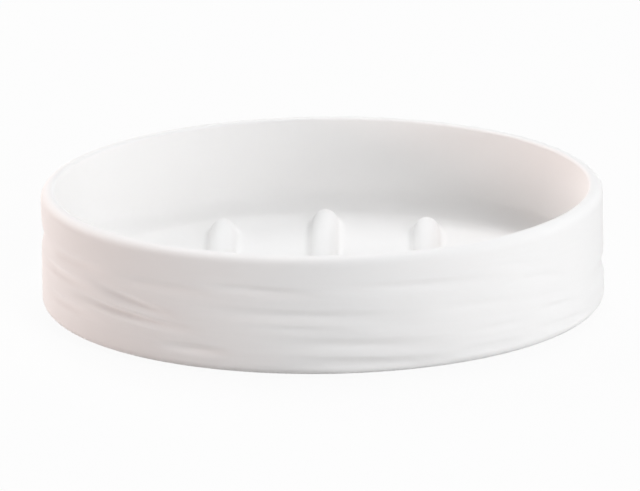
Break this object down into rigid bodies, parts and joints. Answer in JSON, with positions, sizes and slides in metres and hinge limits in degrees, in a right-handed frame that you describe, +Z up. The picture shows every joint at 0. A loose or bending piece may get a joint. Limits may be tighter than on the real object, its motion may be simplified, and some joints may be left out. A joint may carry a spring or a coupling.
{
  "type": "soap dish",
  "caption": "Oval countertop soap dish with shallow grooves drifting round its wall, raised drip ribs on the floor and soft pads under the base.",
  "frame": {"origin": "on the surface that the pads stand on, under the middle of the dish", "axes": "+X along the length, to the right in the picture; +Y along the width, to the back; +Z up"},
  "size_m": [0.14, 0.1018, 0.031],
  "materials": {
    "matte_glaze": "matte",
    "foot_pad": "satin"
  },
  "bodies": {
    "root": {"dish_body": "matte_glaze", "foot_pad_front_left": "foot_pad", "foot_pad_front_right": "foot_pad", "foot_pad_back_left": "foot_pad", "foot_pad_back_right": "foot_pad"}
  },
  "joints": []
}
